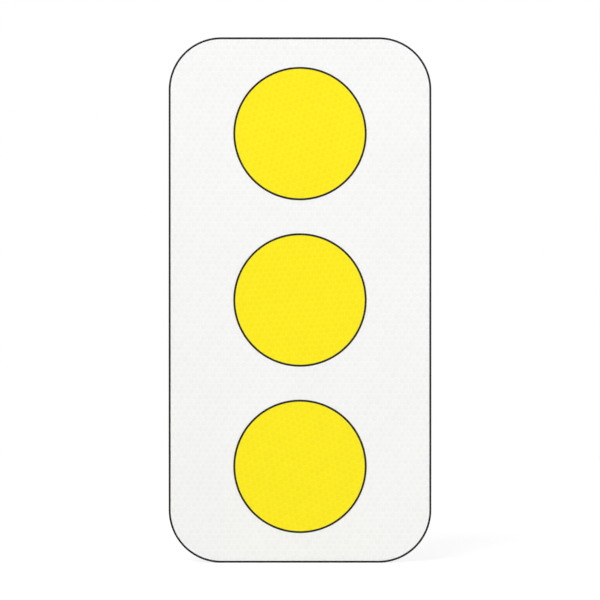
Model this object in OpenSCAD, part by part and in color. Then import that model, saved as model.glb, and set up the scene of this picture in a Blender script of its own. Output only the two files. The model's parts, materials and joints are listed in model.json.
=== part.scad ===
// Object marker sign: a small upright roadside panel that carries three yellow
// retroreflective discs in a column. An aluminium blank is faced with white
// retroreflective sheeting, the discs are laid on the sheeting, and a black bead
// of edge sealer runs over every cut edge of the film.
//
// Millimetres. The origin is the middle of the blank's rear face, +X is to the
// right as a driver sees the sign, +Z is up, and the sign faces -Y.
// Layers are drawn flat, growing upwards from the rear face, and upright() turns
// them to face the road.

/* [Aluminium blank] */
// Width of the blank
blank_w = 152.4; // [100:0.1:230]
// Height of the blank
blank_h = 304.8; // [290:0.1:610]
// Thickness of the blank
blank_t = 2.03; // [1:0.01:3.2]
// Radius of the blank's corners
corner_r = 30.5; // [8:0.1:48]
// Chamfer that breaks the blank's sharp edges
edge_break = 0.25; // [0.1:0.05:0.35]

/* [Bolt holes] */
// Diameter of each punched bolt hole
hole_d = 9.53; // [5:0.01:14]
// Distance from each end of the blank to its bolt hole
hole_inset = 25.4; // [12:0.1:90]

/* [White sheeting] */
// Thickness of the white sheeting with its adhesive
sheeting_t = 0.35; // [0.2:0.01:0.6]

/* [Yellow reflectors] */
// Diameter of each reflector disc
disc_d = 76.2; // [50:0.1:95]
// Thickness of each reflector disc with its adhesive
disc_t = 0.35; // [0.2:0.01:0.6]
// Distance from each end of the blank to the centre of the disc nearest to it
disc_inset = 55.9; // [40:0.1:75]

/* [Edge sealer] */
// Width of the black bead, centred on the cut edge that it seals
seal_w = 1.2; // [0.8:0.05:1.6]
// Height of the bead's crown above the film that it laps
seal_crown = 0.1; // [0.05:0.01:0.15]

/* [Hidden] */
$fn = 96;

// Places of the discs in the column, in pitches from the middle one, which lies
// at the middle of the blank
TOP = 1;
MIDDLE = 0;
BOTTOM = -1;
disc_pitch = blank_h / 2 - disc_inset;

// Number of flats along the round top of a bead, which stands under half a
// millimetre high
BEAD_FLATS = 8;

// How far a cutter runs past the face that it cuts
over = 1;
// The sheeting is trimmed back from the blank's edge, so that the foot of its
// bead lands on that edge
trim = seal_w / 2;
sheeting_w = blank_w - 2 * trim;
sheeting_h = blank_h - 2 * trim;
sheeting_r = corner_r - trim;
// Heights of the layers above the rear face
sheeting_z = blank_t;
disc_z = sheeting_z + sheeting_t;

ALUMINIUM = "#c4c7c9";
WHITE = "#fbfbf9";
YELLOW = "#fbec21";
BLACK = "#231f20";

// The centre of the circle through three points
function circumcentre(a, b, c) =
    let (
        twice_area = a.x * (b.y - c.y) + b.x * (c.y - a.y) + c.x * (a.y - b.y),
        aa = a * a,
        bb = b * b,
        cc = c * c,
        x = aa * (b.y - c.y) + bb * (c.y - a.y) + cc * (a.y - b.y),
        y = aa * (c.x - b.x) + bb * (a.x - c.x) + cc * (b.x - a.x)
    )
    [x, y] / (2 * twice_area);

// Points along the circle through a, b and c, from a to c
function arc(a, b, c, flats) =
    let (
        centre = circumcentre(a, b, c),
        radius = norm(a - centre),
        start = atan2(a.y - centre.y, a.x - centre.x),
        end = atan2(c.y - centre.y, c.x - centre.x)
    )
    [
        for (i = [0 : flats])
            let (angle = start + (end - start) * i / flats)
            centre + radius * [cos(angle), sin(angle)]
    ];

// Turns flat layers upright, facing -Y
module upright() {
    rotate([90, 0, 0]) children();
}

module rounded_rectangle(w, h, r) {
    square([w, h - 2 * r], center = true);
    square([w - 2 * r, h], center = true);
    for (x = [-1, 1], y = [-1, 1])
        translate([x * (w / 2 - r), y * (h / 2 - r)]) circle(r);
}

// Sweeps a section round a rounded rectangle. In the section, +X points outwards
// from the outline and +Y upwards.
module around(w, h, r) {
    for (side = [0 : 3]) {
        run = (side % 2 == 0 ? h : w) - 2 * r;
        reach = (side % 2 == 0 ? w : h) / 2;
        rotate([0, 0, 90 * side]) {
            translate([reach, run / 2, 0])
                rotate([90, 0, 0]) linear_extrude(run) children();
            translate([reach - r, run / 2, 0])
                rotate_extrude(angle = 90) translate([r, 0]) children();
        }
    }
}

// What lies outside a broken edge: the section that cuts the chamfer
module edge_break_section() {
    polygon([
        [-edge_break - over, over],
        [over, -edge_break - over],
        [over, over]
    ]);
}

// A bolt hole punched through the blank, with the burr taken off both ends
module bolt_hole() {
    translate([0, 0, -over]) cylinder(d = hole_d, h = blank_t + 2 * over);
    cylinder(r1 = hole_d / 2 + edge_break, r2 = hole_d / 2, h = edge_break);
    translate([0, 0, blank_t - edge_break])
        cylinder(r1 = hole_d / 2, r2 = hole_d / 2 + edge_break, h = edge_break);
}

module sign_blank() {
    color(ALUMINIUM) upright() difference() {
        linear_extrude(blank_t) rounded_rectangle(blank_w, blank_h, corner_r);
        translate([0, 0, blank_t])
            around(blank_w, blank_h, corner_r) edge_break_section();
        around(blank_w, blank_h, corner_r)
            mirror([0, 1]) edge_break_section();
        for (end = [-1, 1])
            translate([0, end * (blank_h / 2 - hole_inset), 0]) bolt_hole();
    }
}

// The white film covers the whole front of the blank, bolt holes included
module white_sheeting() {
    color(WHITE) upright() translate([0, 0, sheeting_z])
        linear_extrude(sheeting_t)
            rounded_rectangle(sheeting_w, sheeting_h, sheeting_r);
}

module reflector(place) {
    color(YELLOW) upright() translate([0, place * disc_pitch, disc_z])
        cylinder(d = disc_d, h = disc_t);
}

// The section of a bead of sealer over a film's cut edge, which stands at x = 0 on
// a floor at y = 0. Its round top runs from the toe on the film, over the crown
// above the cut edge, to the foot on the floor. bed lists the points that it
// covers outside the film, from the foot inwards.
module bead_section(film_t, bed) {
    toe = [-seal_w / 2, film_t];
    crown = [0, film_t + seal_crown];
    foot = [seal_w / 2, 0];
    polygon(concat(arc(toe, crown, foot, BEAD_FLATS), bed, [[0, 0], [0, film_t]]));
}

// This bead also fills the broken edge of the blank
module panel_edge_seal() {
    broken_edge = [[trim, -edge_break], [trim - edge_break, 0]];
    color(BLACK) upright() translate([0, 0, sheeting_z])
        around(sheeting_w, sheeting_h, sheeting_r)
            bead_section(sheeting_t, broken_edge);
}

module reflector_seal(place) {
    color(BLACK) upright() translate([0, place * disc_pitch, disc_z])
        rotate_extrude() translate([disc_d / 2, 0]) bead_section(disc_t, []);
}

sign_blank();
white_sheeting();
panel_edge_seal();
reflector(TOP);  // top_reflector
reflector(MIDDLE);  // middle_reflector
reflector(BOTTOM);  // bottom_reflector
reflector_seal(TOP);  // top_reflector_seal
reflector_seal(MIDDLE);  // middle_reflector_seal
reflector_seal(BOTTOM);  // bottom_reflector_seal
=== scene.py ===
"""Looks of an object marker sign: a white retroreflective panel with three yellow discs.

Metres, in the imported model's own frame: the sign faces -Y, +Z is up, and the blank's rear
face lies at y = 0. Flat work is done in the plane of the sign, with a point given as
(x, z) and its height as the distance in front of the rear face.
"""

import json
import math

import bmesh
import bpy
import numpy as np
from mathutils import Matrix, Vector


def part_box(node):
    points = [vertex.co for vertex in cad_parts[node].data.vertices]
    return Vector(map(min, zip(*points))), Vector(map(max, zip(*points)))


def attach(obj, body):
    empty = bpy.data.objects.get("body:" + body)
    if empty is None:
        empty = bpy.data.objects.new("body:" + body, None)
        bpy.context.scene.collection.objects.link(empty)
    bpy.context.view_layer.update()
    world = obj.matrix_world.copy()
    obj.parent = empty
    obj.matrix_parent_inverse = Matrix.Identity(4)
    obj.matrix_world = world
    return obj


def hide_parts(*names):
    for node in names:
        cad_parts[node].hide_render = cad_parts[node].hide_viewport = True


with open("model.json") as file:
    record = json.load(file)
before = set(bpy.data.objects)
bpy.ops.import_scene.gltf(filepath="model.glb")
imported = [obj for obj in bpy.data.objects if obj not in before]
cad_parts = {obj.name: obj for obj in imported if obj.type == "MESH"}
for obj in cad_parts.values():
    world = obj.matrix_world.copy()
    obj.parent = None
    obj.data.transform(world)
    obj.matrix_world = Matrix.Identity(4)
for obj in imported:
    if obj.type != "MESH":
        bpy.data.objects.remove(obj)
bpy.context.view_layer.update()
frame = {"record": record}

MM = 0.001

# The photograph's frame: the width of its square picture at the sign, and the lens
PICTURE_WIDTH = 348.0 * MM
LENS_MM = 200
SENSOR_MM = 36

# The blank's corners and the break along its edges, as in the solid
CORNER_RADIUS = 30.5 * MM
EDGE_BREAK = 0.25 * MM
# The broken edge is a little rounded. In breaks: how far it reaches along each of the two
# faces that it joins, and how far its shoulders lie from the farther and the nearer one.
BREAK_REACH = 1.2
BREAK_SHOULDER = (0.85, 0.06)

# How finely the outlines and the bead's round top are divided
CORNER_STEPS = 32
SIDE_STEP = 3 * MM
HOLE_STEPS = 96
DISC_STEPS = 240
BEAD_ARC_STEPS = 12

# Retroreflective film: a net of six-sided cells. The seams between them hold a clear top
# film to its backing, and it rises in a low dome over each. Drops are from its crest.
CELL_SIDES = 6
CELL_PITCH = 3.6 * MM
SEAM_HALF_WIDTH = 0.26 * MM
SEAM_DEPTH = 0.06 * MM
SHOULDER_DROP = 0.024 * MM
DOME_SHARE = 0.55
DOME_DROP = 0.005 * MM
# How much the shade, from 0 to 1, steps on from cell to cell
SHADE_STEP = 0.618
# How far the net is turned on each disc, in degrees
DISC_TURNS = {"top": 17, "middle": 4, "bottom": -21}
# Points of the net this near to an outline are taken to lie on it
CLIP_SLACK = 0.04 * MM

# Black edge sealer: its crown above the film, as in the solid, how deep its hidden side
# lies in the film, and the share of its lap by which its hand-laid edge wavers
SEAL_CROWN = 0.1 * MM
SEAL_SINK = 0.06 * MM
BEAD_WAVER = 0.09
# The waver is a sum of waves: the turns of each round the path, and where they start
WAVER_TURNS = (3, 7, 13, 22, 41)
WAVER_PHASE = {"panel": 0.7, "top": 1.3, "middle": 2.3, "bottom": 3.3}

# Scratches on the back: the turn in degrees and the length of each of their three runs
SCRATCH_RUNS = ((8, 110 * MM), (-31, 62 * MM), (64, 45 * MM))
# Where the bright land on a sheared edge starts and where it is full, as shares of the
# sheet's thickness from the rear face
LAND_START = 0.52
LAND_FULL = 0.62

# The range in which most values of a noise lie
NOISE_LOW = 0.3
NOISE_HIGH = 0.7

# Colours, as linear red, green and blue with alpha
WHITE_CELL = (0.885, 0.885, 0.88, 1)
WHITE_SEAM = (0.95, 0.95, 0.945, 1)
YELLOW_CELL = (0.945, 0.79, 0.002, 1)
YELLOW_SEAM = (0.99, 0.88, 0.005, 1)
ADHESIVE_DARK = (0.20, 0.20, 0.195, 1)
ADHESIVE_PALE = (0.33, 0.33, 0.32, 1)
SEALER_DARK = (0.009, 0.008, 0.008, 1)
SEALER_PALE = (0.019, 0.016, 0.017, 1)
MILL_DARK = (0.38, 0.385, 0.395, 1)
MILL_PALE = (0.56, 0.565, 0.575, 1)
MILL_STAIN = (0.41, 0.40, 0.375, 1)
SCRATCH = (0.70, 0.705, 0.71, 1)
TORN_DARK = (0.16, 0.165, 0.17, 1)
TORN_PALE = (0.32, 0.325, 0.33, 1)
LAND_DARK = (0.36, 0.365, 0.37, 1)
LAND_PALE = (0.52, 0.525, 0.53, 1)

# The floor's linear red, green and blue
FLOOR_PALE = (0.9, 0.9, 0.9)


def flat_box(name):
    """A node's lowest and highest (x, z), and its back and front heights."""
    low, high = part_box(name)
    return (low[0], low[2]), (high[0], high[2]), -high[1], -low[1]


# Outlines in the plane of the sign

def rounded_rectangle_distance(half_w, half_h, radius):
    """Gives the signed distance of points from a rounded rectangle, below 0 inside it."""
    def distance(points):
        reach = np.abs(points) - (half_w - radius, half_h - radius)
        outside = np.linalg.norm(np.maximum(reach, 0), axis=1)
        return outside + np.minimum(reach.max(axis=1), 0) - radius
    return distance


def circle_distance(centre, radius):
    """Gives the signed distance of points from a circle, below 0 inside it."""
    def distance(points):
        return np.linalg.norm(points - np.asarray(centre), axis=1) - radius
    return distance


def arc_path(centre, radius, start, turn, steps):
    """Points along an arc, its end left out, each with its outward direction."""
    path = []
    for i in range(steps):
        angle = start + turn * i / steps
        out = (math.cos(angle), math.sin(angle))
        path.append(((centre[0] + radius * out[0], centre[1] + radius * out[1]), out))
    return path


def circle_path(centre, radius, steps=DISC_STEPS):
    return arc_path(centre, radius, 0, 2 * math.pi, steps)


def side_path(start, along, run):
    """Points along a straight side, its end left out, each with its outward direction."""
    steps = max(1, round(run / SIDE_STEP))
    out = (along[1], -along[0])
    return [((start[0] + along[0] * run * i / steps, start[1] + along[1] * run * i / steps), out)
            for i in range(steps)]


def rounded_rectangle_path(half_w, half_h, radius):
    """Points round a rounded rectangle, each with its outward direction."""
    path = []
    for quarter, (sx, sz) in enumerate(((1, 1), (-1, 1), (-1, -1), (1, -1))):
        start = math.pi / 2 * quarter
        along = (-math.sin(start + math.pi / 2), math.cos(start + math.pi / 2))
        centre = (sx * (half_w - radius), sz * (half_h - radius))
        end = (centre[0] + radius * along[1], centre[1] - radius * along[0])
        run = 2 * ((half_w if quarter % 2 == 0 else half_h) - radius)
        path += arc_path(centre, radius, start, math.pi / 2, CORNER_STEPS)
        path += side_path(end, along, run)
    return path


# Meshes

def piece_of(name, bm):
    """Makes an object of a finished mesh, its faces turned outwards."""
    bmesh.ops.recalc_face_normals(bm, faces=bm.faces)
    mesh = bpy.data.meshes.new(name)
    bm.to_mesh(mesh)
    bm.free()
    piece = bpy.data.objects.new(name, mesh)
    bpy.context.scene.collection.objects.link(piece)
    return piece


def sharpen(edges):
    for edge in edges:
        edge.smooth = False


def ring_edges(bm, ring):
    return [bm.edges.get((ring[i - 1], ring[i])) for i in range(len(ring))]


def sweep(bm, path, section, closed=False, material=0, vary=None):
    """Sweeps a section along a closed path and gives one ring of points for each of the
    section's points. These are the distance out from the path and the height, and vary
    may change them with the share of the path.
    """
    rings = []
    for point in section:
        ring = []
        for i, ((x, z), (out_x, out_z)) in enumerate(path):
            out, height = vary(i / len(path), *point) if vary else point
            ring.append(bm.verts.new((x + out * out_x, -height, z + out * out_z)))
        rings.append(ring)
    for a, b in zip(rings, rings[1:] + (rings[:1] if closed else [])):
        for i in range(len(path)):
            face = bm.faces.new((a[i - 1], a[i], b[i], b[i - 1]))
            face.smooth = True
            face.material_index = material
    return rings


def honeycomb(low, high, turn):
    """A net of hexagonal cells over a rectangle: its points, the values of each point
    (the drop below the film's crest, 1 on a seam, and the cell's shade), and its faces.
    """
    centre = (np.asarray(low) + high) / 2
    half = (np.asarray(high) - low) / 2 + CELL_PITCH
    corner = CELL_PITCH / math.sqrt(3)
    shoulder = corner - 2 * SEAM_HALF_WIDTH / math.sqrt(3)
    rings = ((corner, SEAM_DEPTH, 1), (shoulder, SHOULDER_DROP, 0),
             (shoulder * DOME_SHARE, DOME_DROP, 0))
    angles = np.radians([30 + 360 * i / CELL_SIDES for i in range(CELL_SIDES)])
    spokes = [(math.cos(a), math.sin(a)) for a in angles]
    cos_turn, sin_turn = math.cos(math.radians(turn)), math.sin(math.radians(turn))
    row_step = CELL_PITCH * math.sqrt(3) / 2
    reach = np.linalg.norm(half)
    rows, columns = math.ceil(reach / row_step), math.ceil(reach / CELL_PITCH)

    points, values, faces, index = [], [], [], {}

    def turned(x, z):
        return x * cos_turn - z * sin_turn, x * sin_turn + z * cos_turn

    def add(x, z, *value):
        """Adds a point, or gives the one that a cell beside it has put there, to within a
        thousandth of a millimetre.
        """
        key = (round(x / MM, 3), round(z / MM, 3))
        if key not in index:
            index[key] = len(points)
            points.append(centre + turned(x, z))
            values.append(value)
        return index[key]

    shade = 0.0
    for row in range(-rows, rows + 1):
        for column in range(-columns, columns + 1):
            x = (column + 0.5 * (row % 2)) * CELL_PITCH
            z = row * row_step
            if any(np.abs(turned(x, z)) > half):
                continue
            shade = (shade + SHADE_STEP) % 1
            loops = [[add(x + radius * sx, z + radius * sz, drop, seam, shade) for sx, sz in spokes]
                     for radius, drop, seam in rings]
            top = add(x, z, 0, 0, shade)
            for a, b in zip(loops, loops[1:]):
                faces += [(a[k - 1], a[k], b[k], b[k - 1]) for k in range(CELL_SIDES)]
            faces += [(loops[-1][k - 1], loops[-1][k], top) for k in range(CELL_SIDES)]
    return np.array(points), np.array(values), faces


def clip(points, values, faces, distance):
    """Keeps the part of a flat mesh inside an outline. Each point's values are carried
    to the new points, which lie where the outline crosses an edge. Points that nearly
    lie on the outline are taken to be on it, so that no sliver is cut.
    """
    away = distance(points)
    away[np.abs(away) < CLIP_SLACK] = 0
    points, values, kept = list(points), list(values), []
    crossings = {}

    def crossing(*edge):
        a, b = sorted(edge)
        if (a, b) not in crossings:
            share = away[a] / (away[a] - away[b])
            crossings[a, b] = len(points)
            points.append(points[a] + share * (points[b] - points[a]))
            values.append(values[a] + share * (values[b] - values[a]))
        return crossings[a, b]

    for face in faces:
        if min(away[i] for i in face) >= 0:
            continue
        cut = []
        for a, b in zip(face, face[1:] + face[:1]):
            if away[a] <= 0:
                cut.append(a)
            if away[a] * away[b] < 0:
                cut.append(crossing(a, b))
        kept.append(cut)
    return points, values, kept


def film(name, low, high, back, front, distance, turn=0):
    """A sheet of retroreflective film: embossed front, cut edge and flat back. The cut
    edge and the back have the second material.
    """
    points, values, faces = clip(*honeycomb(low, high, turn), distance)
    bm = bmesh.new()
    seams = bm.verts.layers.float.new("seam")
    shades = bm.verts.layers.float.new("shade")
    verts = {}
    for i in sorted({i for face in faces for i in face}):
        drop, seam, shade = values[i]
        verts[i] = bm.verts.new((points[i][0], -(front - drop), points[i][1]))
        verts[i][seams] = seam
        verts[i][shades] = shade
    for face in faces:
        bm.faces.new([verts[i] for i in face]).smooth = True

    rim = [edge for edge in bm.edges if edge.is_boundary]
    below = {}
    for vert in (vert for edge in rim for vert in edge.verts):
        if vert not in below:
            below[vert] = bm.verts.new((vert.co.x, -back, vert.co.z))
    hidden = []
    for a, b in (edge.verts for edge in rim):
        hidden.append(bm.faces.new((a, b, below[b], below[a])))
        hidden[-1].smooth = True
    foot = [edge for edge in bm.edges if edge.is_boundary]
    sharpen(rim + foot)
    rear = bmesh.ops.triangle_fill(bm, edges=foot, use_beauty=True, normal=(0, 1, 0))["geom"]
    hidden += [item for item in rear if isinstance(item, bmesh.types.BMFace)]
    for face in hidden:
        face.material_index = 1
    return piece_of(name, bm)


def arc(a, b, c, steps):
    """Points along the circle through a, b and c, from a to c."""
    (ax, ay), (bx, by), (cx, cy) = a, b, c
    twice_area = ax * (by - cy) + bx * (cy - ay) + cx * (ay - by)
    aa, bb, cc = ax * ax + ay * ay, bx * bx + by * by, cx * cx + cy * cy
    x = (aa * (by - cy) + bb * (cy - ay) + cc * (ay - by)) / (2 * twice_area)
    y = (aa * (cx - bx) + bb * (ax - cx) + cc * (bx - ax)) / (2 * twice_area)
    radius = math.hypot(ax - x, ay - y)
    start, end = math.atan2(ay - y, ax - x), math.atan2(cy - y, cx - x)
    angles = [start + (end - start) * i / steps for i in range(steps + 1)]
    return [(x + radius * math.cos(t), y + radius * math.sin(t)) for t in angles]


def bead_section(lap, film_thickness, bed):
    """The section of a bead of sealer over a cut edge at (0, 0): points as the distance
    out from the edge and the height above what the film lies on. They run from the toe
    on the film over the crown to the foot, along the bed, and back inside the film.
    """
    crown = (0, film_thickness + SEAL_CROWN)
    sunk = film_thickness - SEAL_SINK
    inside = [(-SEAL_SINK, -SEAL_SINK), (-SEAL_SINK, sunk), (SEAL_SINK / 2 - lap, sunk)]
    return arc((-lap, film_thickness), crown, (lap, 0), BEAD_ARC_STEPS) + bed + inside


def waver(share, phase):
    """A slow rise and fall between 0 and 1 that closes on itself round a path."""
    waves = [math.sin(2 * math.pi * turns * share + phase * turns) for turns in WAVER_TURNS]
    return 0.5 + sum(waves) / (2 * len(waves))


def bead(name, path, floor, film_thickness, section, phase):
    """A bead of sealer swept along a closed path. Its toe and crown waver a little, as
    laid by hand, and it never gets wider or higher than its section.
    """
    def vary(share, out, height):
        slack = 1 - BEAD_WAVER * waver(share, phase)
        if out < 0:
            out *= slack
        if height > film_thickness:
            height = film_thickness + (height - film_thickness) * slack ** 3
        return out, floor + height

    bm = bmesh.new()
    rings = sweep(bm, path, section, closed=True, vary=vary)
    for ring in (rings[0], rings[BEAD_ARC_STEPS]):
        sharpen(ring_edges(bm, ring))
    return piece_of(name, bm)


def broken_edge(thickness):
    """The section of a sheared and deburred edge: points as the distance in from the
    edge and the height above the rear face.
    """
    far, near = BREAK_SHOULDER
    lower = [(BREAK_REACH, 0), (far, near), (near, far), (0, BREAK_REACH)]
    section = [(inset * EDGE_BREAK, height * EDGE_BREAK) for inset, height in lower]
    return section + [(inset, thickness - height) for inset, height in reversed(section)]


def punched_blank(name):
    """The punched sheet: flat faces of the first material, and its edge and the walls of
    its holes of the second.
    """
    high, back, front = flat_box("sign_blank")[1:]
    holes = next(m for m in frame["record"]["mounts"] if m["name"] == "bolt_holes")
    radius = holes["dims"]["hole_r_mm"] * MM
    reach = holes["dims"]["spacing_y_mm"] * MM / 2
    # Each rim's path, and whether its break lies inside the path (-1) or outside it (1)
    rims = [(rounded_rectangle_path(high[0], high[1], CORNER_RADIUS), -1)]
    rims += [(circle_path((0, z), radius, HOLE_STEPS), 1) for z in (-reach, reach)]
    bm = bmesh.new()
    rear, face = [], []
    for path, way in rims:
        section = [(way * inset, back + height) for inset, height in broken_edge(front - back)]
        rings = sweep(bm, path, section, material=1)
        rear += ring_edges(bm, rings[0])
        face += ring_edges(bm, rings[-1])
    sharpen(rear + face)
    for edges in (rear, face):
        bmesh.ops.triangle_fill(bm, edges=edges, use_beauty=True, normal=(0, 1, 0))
    return piece_of(name, bm)


# Materials

class Nodes:
    """Builds the node tree of a material or a world."""

    def __init__(self, owner, output="ShaderNodeOutputMaterial"):
        owner.use_nodes = True
        self.owner = owner
        self.tree = owner.node_tree
        self.tree.nodes.clear()
        self.output = self.add(output)

    def add(self, kind, inputs=(), **settings):
        node = self.tree.nodes.new(kind)
        for key, value in settings.items():
            setattr(node, key, value)
        for key, value in dict(inputs).items():
            self.set(node.inputs[key], value)
        return node

    def set(self, socket, value):
        if isinstance(value, bpy.types.NodeSocket):
            self.tree.links.new(value, socket)
        else:
            socket.default_value = value

    def finish(self, shader):
        self.set(self.output.inputs["Surface"], shader.outputs[0])
        return self.owner

    def place(self):
        return self.add("ShaderNodeTexCoord").outputs["Object"]

    def attribute(self, name):
        return self.add("ShaderNodeAttribute", attribute_name=name).outputs["Fac"]

    def noise(self, size, turn=0, detail=3, roughness=0.5, distortion=0):
        """Noise from about 0.25 to 0.75. The size of its features is one length, or one
        along each axis, and these axes may be turned by degrees in the sign's plane.
        """
        sizes = size if isinstance(size, tuple) else (size,) * 3
        place = self.add("ShaderNodeMapping", {
            "Vector": self.place(), "Rotation": (0, math.radians(turn), 0), "Scale": sizes,
        }, vector_type="TEXTURE")
        return self.add("ShaderNodeTexNoise", {
            "Vector": place.outputs[0], "Scale": 1, "Detail": detail,
            "Roughness": roughness, "Distortion": distortion,
        }).outputs["Fac"]

    def remap(self, value, low, high, to_low=0, to_high=1):
        return self.add("ShaderNodeMapRange", {
            "Value": value, "From Min": low, "From Max": high, "To Min": to_low, "To Max": to_high,
        }).outputs["Result"]

    def spread(self, noise, low=0, high=1):
        """Stretches a noise to a range."""
        return self.remap(noise, NOISE_LOW, NOISE_HIGH, low, high)

    def math(self, operation, first, *others):
        for other in others:
            first = self.add("ShaderNodeMath", {0: first, 1: other}, operation=operation).outputs[0]
        return first

    def mix(self, factor, a, b):
        inputs = {"Factor": factor, "A": a, "B": b}
        node = self.add("ShaderNodeMix", data_type="RGBA")
        for socket in node.inputs:
            if socket.name in inputs and socket.enabled:
                self.set(socket, inputs[socket.name])
        return next(socket for socket in node.outputs if socket.enabled)

    def brighten(self, colour, value):
        """Scales a colour by a grey value."""
        return self.add("ShaderNodeVectorMath", {0: colour, "Scale": value},
                        operation="SCALE").outputs[0]

    def bump(self, *layers):
        """Stacks bumps, each of a height from 0 to 1 and its depth in metres."""
        normal = None
        for height, depth in layers:
            bump = self.add("ShaderNodeBump", {
                "Height": height, "Distance": depth, "Strength": 1,
            })
            if normal:
                self.set(bump.inputs["Normal"], normal)
            normal = bump.outputs["Normal"]
        return normal

    def principled(self, **inputs):
        named = {key.replace("_", " "): value for key, value in inputs.items()}
        return self.finish(self.add("ShaderNodeBsdfPrincipled", named))


def film_material(name, cell_colour, seam_colour, speckle):
    """The front of retroreflective film: beads under a clear, slightly wavy top film."""
    n = Nodes(bpy.data.materials.new(name))
    beads = n.noise(0.4 * MM, detail=1)
    shade = n.math(
        "MULTIPLY", n.remap(n.attribute("shade"), 0, 1, 0.98, 1),
        n.spread(n.noise(45 * MM), 0.985, 1), n.spread(beads, 1 - speckle, 1),
    )
    colour = n.mix(n.attribute("seam"), cell_colour, seam_colour)
    return n.principled(
        Base_Color=n.brighten(colour, shade),
        Roughness=n.spread(n.noise(17 * MM, detail=5), 0.28, 0.4),
        Normal=n.bump((n.noise(4 * MM, detail=2), 0.03 * MM), (beads, 0.004 * MM)),
        Specular_IOR_Level=0.2, Coat_Weight=0.1, Coat_Roughness=0.12,
    )


def adhesive_material():
    """The film's back and cut edge: grey pressed adhesive."""
    n = Nodes(bpy.data.materials.new("film_adhesive"))
    blotches = n.noise(1.4 * MM, detail=4, distortion=0.6)
    return n.principled(
        Base_Color=n.mix(n.remap(blotches, 0.35, 0.65), ADHESIVE_DARK, ADHESIVE_PALE),
        Roughness=n.spread(n.noise(2.9 * MM), 0.35, 0.6),
        Normal=n.bump((blotches, 0.05 * MM)),
    )


def sealer_material():
    """Black edge sealer, brushed on."""
    n = Nodes(bpy.data.materials.new("edge_sealer"))
    drag = n.noise(1.6 * MM, detail=4)
    return n.principled(
        Base_Color=n.mix(n.spread(drag), SEALER_DARK, SEALER_PALE),
        Roughness=n.spread(n.noise(2 * MM), 0.36, 0.6),
        Normal=n.bump((drag, 0.06 * MM), (n.noise(0.33 * MM, detail=1), 0.006 * MM)),
        Specular_IOR_Level=0.15,
    )


def scratches(n):
    """Fine scratches, the peaks of long thin noises, which show only in patches."""
    lines = []
    for turn, length in SCRATCH_RUNS:
        line = n.noise((0.67 * MM, 0.67 * MM, length), turn, detail=2)
        patch = n.noise(59 * MM, 3 * turn, detail=2)
        lines.append(n.math("MULTIPLY", n.remap(line, 0.69, 0.73), n.remap(patch, 0.48, 0.6)))
    return n.math("MAXIMUM", *lines)


def mill_material():
    """Mill-finish sheet: rolling grain along the height, bands, stains and scratches."""
    n = Nodes(bpy.data.materials.new("mill_aluminium"))
    grain = n.noise((0.4 * MM, 0.4 * MM, 40 * MM), detail=4, roughness=0.6)
    bands = n.noise((14 * MM, 14 * MM, 400 * MM), detail=4)
    stains = n.noise(36 * MM, detail=5, roughness=0.6)
    scratched = scratches(n)
    tone = n.math("ADD", n.remap(grain, 0.25, 0.75, 0, 0.6), n.spread(bands, 0, 0.4))
    colour = n.mix(tone, MILL_DARK, MILL_PALE)
    colour = n.mix(n.remap(stains, 0.48, 0.72, 0, 0.4), colour, MILL_STAIN)
    colour = n.mix(n.math("MULTIPLY", scratched, 0.6), colour, SCRATCH)
    return n.principled(
        Base_Color=colour, Metallic=1.0,
        Roughness=n.remap(n.math("ADD", grain, stains), 0.6, 1.4, 0.26, 0.44),
        Normal=n.bump((grain, 0.006 * MM), (n.math("SUBTRACT", 0, scratched), 0.006 * MM)),
    )


def sheared_material(thickness):
    """Sheared aluminium: a bright burnished land by the front face, and a dull, torn
    rest behind it, both drawn through the sheet.
    """
    n = Nodes(bpy.data.materials.new("sheared_aluminium"))
    y = n.add("ShaderNodeSeparateXYZ", {0: n.place()}).outputs["Y"]
    drawn = n.noise((0.42 * MM, 8 * MM, 0.42 * MM), detail=3)
    torn = n.noise(0.67 * MM, detail=4, roughness=0.65)
    depth = n.math("ADD", y, n.spread(torn, 0, 0.25 * MM))
    land = n.remap(depth, -LAND_FULL * thickness, -LAND_START * thickness, 1, 0)
    bright = n.mix(n.spread(drawn), LAND_DARK, LAND_PALE)
    dull = n.mix(n.spread(torn), TORN_DARK, TORN_PALE)
    return n.principled(
        Base_Color=n.mix(land, dull, bright), Metallic=1.0,
        Roughness=n.remap(land, 0, 1, 0.6, 0.4),
        Normal=n.bump((n.mix(land, torn, drawn), 0.02 * MM)),
    )


def give(piece, *materials):
    for material in materials:
        piece.data.materials.append(material)


def dress(node, piece, slot, *materials):
    """Makes a piece stand for a CAD node on the part's one body."""
    give(piece, *materials)
    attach(piece, "root")
    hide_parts(node)


# The sign

def build_panel(white, adhesive, sealer):
    high, back, front = flat_box("sign_blank")[1:]
    edge = high[0]
    dress("sign_blank", punched_blank("punched_blank"), "blank",
          mill_material(), sheared_material(front - back))

    low, high, back, front = flat_box("white_sheeting")
    trim = edge - high[0]
    radius = CORNER_RADIUS - trim
    inside = rounded_rectangle_distance(high[0], high[1], radius)
    dress("white_sheeting", film("white_sheeting_film", low, high, back, front, inside),
          "white_film", white, adhesive)

    broken = [(trim, -EDGE_BREAK), (trim - EDGE_BREAK, 0)]
    section = bead_section(trim, front - back, broken)
    path = rounded_rectangle_path(high[0], high[1], radius)
    rim = bead("panel_edge_bead", path, back, front - back, section, WAVER_PHASE["panel"])
    dress("panel_edge_seal", rim, "edge_sealer", sealer)


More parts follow.
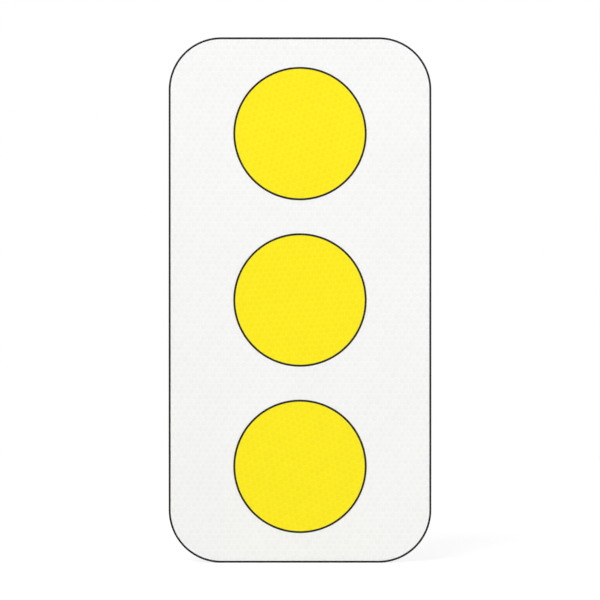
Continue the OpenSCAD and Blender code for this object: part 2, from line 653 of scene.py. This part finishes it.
def build_reflector(place, yellow, adhesive, sealer):
    low, high, back, front = flat_box(f"{place}_reflector")
    centre = ((low[0] + high[0]) / 2, (low[1] + high[1]) / 2)
    radius = high[0] - centre[0]
    inside = circle_distance(centre, radius)
    disc = film(f"{place}_reflector_film", low, high, back, front, inside, DISC_TURNS[place])
    dress(f"{place}_reflector", disc, "yellow_film", yellow, adhesive)

    lap = flat_box(f"{place}_reflector_seal")[1][0] - high[0]
    section = bead_section(lap, front - back, [(lap - SEAL_SINK / 2, -SEAL_SINK)])
    ring = bead(f"{place}_reflector_bead", circle_path(centre, radius), back, front - back,
                section, WAVER_PHASE[place])
    dress(f"{place}_reflector_seal", ring, "edge_sealer", sealer)


def build_sign():
    white = film_material("white_film", WHITE_CELL, WHITE_SEAM, speckle=0.012)
    yellow = film_material("yellow_film", YELLOW_CELL, YELLOW_SEAM, speckle=0.02)
    adhesive = adhesive_material()
    sealer = sealer_material()
    build_panel(white, adhesive, sealer)
    for place in DISC_TURNS:
        build_reflector(place, yellow, adhesive, sealer)


# The stage

def add_camera():
    data = bpy.data.cameras.new("camera")
    data.lens = LENS_MM
    data.sensor_width = SENSOR_MM
    camera = bpy.data.objects.new("camera", data)
    bpy.context.scene.collection.objects.link(camera)
    low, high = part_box("white_sheeting")
    distance = PICTURE_WIDTH * LENS_MM / SENSOR_MM
    camera.location = ((low[0] + high[0]) / 2, low[1] - distance, (low[2] + high[2]) / 2)
    camera.rotation_euler = (math.pi / 2, 0, 0)
    bpy.context.scene.camera = camera


def add_lamp(name, place, size, watts):
    """A round soft lamp, turned to the sign."""
    data = bpy.data.lights.new(name, "AREA")
    data.shape = "DISK"
    data.size = size
    data.energy = watts
    lamp = bpy.data.objects.new(name, data)
    lamp.location = place
    lamp.rotation_euler = (-Vector(place)).to_track_quat("-Z", "Y").to_euler()
    bpy.context.scene.collection.objects.link(lamp)


def shown(n):
    """1 for the rays that show the background: camera, glossy and transmission rays."""
    rays = n.add("ShaderNodeLightPath").outputs
    return n.math("MAXIMUM", rays["Is Camera Ray"], rays["Is Glossy Ray"], rays["Is Transmission Ray"])


def add_world(light, background):
    world = bpy.data.worlds.new("studio")
    n = Nodes(world, "ShaderNodeOutputWorld")
    strength = n.remap(shown(n), 0, 1, light, background)
    n.finish(n.add("ShaderNodeBackground", {"Color": (1, 1, 1, 1), "Strength": strength}))
    bpy.context.scene.world = world


def floor_material(glow, fade_start, fade_end):
    """A pale floor that fades to the white background away from the sign."""
    n = Nodes(bpy.data.materials.new("pale_floor"))
    away = n.add("ShaderNodeVectorMath", {0: n.place()}, operation="LENGTH").outputs["Value"]
    white = n.math("MULTIPLY", n.remap(away, fade_start, fade_end), shown(n))
    dust = n.spread(n.noise(110 * MM, detail=4), 0.985, 1)
    diffuse = n.add("ShaderNodeBsdfDiffuse", {"Color": n.brighten(FLOOR_PALE, dust)})
    lift = n.add("ShaderNodeEmission", {"Strength": n.math("MULTIPLY", shown(n), glow)})
    near = n.add("ShaderNodeAddShader", {0: diffuse.outputs[0], 1: lift.outputs[0]})
    far = n.add("ShaderNodeEmission", {"Strength": 1})
    return n.finish(n.add("ShaderNodeMixShader", {0: white, 1: near.outputs[0], 2: far.outputs[0]}))


def add_floor(half_width):
    bm = bmesh.new()
    bmesh.ops.create_grid(bm, x_segments=1, y_segments=1, size=half_width)
    floor = piece_of("floor", bm)
    floor.location.z = flat_box("sign_blank")[0][1]
    give(floor, floor_material(glow=0.34, fade_start=0.5, fade_end=1.4))


bpy.context.scene.view_settings.view_transform = "Standard"
add_camera()
build_sign()
add_floor(half_width=6)
add_world(light=0.55, background=1)
add_lamp("key", (-1.1, -2.3, 1.5), size=2.0, watts=29)
add_lamp("fill", (1.6, -2.0, 0.7), size=2.0, watts=16)
add_lamp("rear", (1.7, 2.1, 0.9), size=2.4, watts=24)
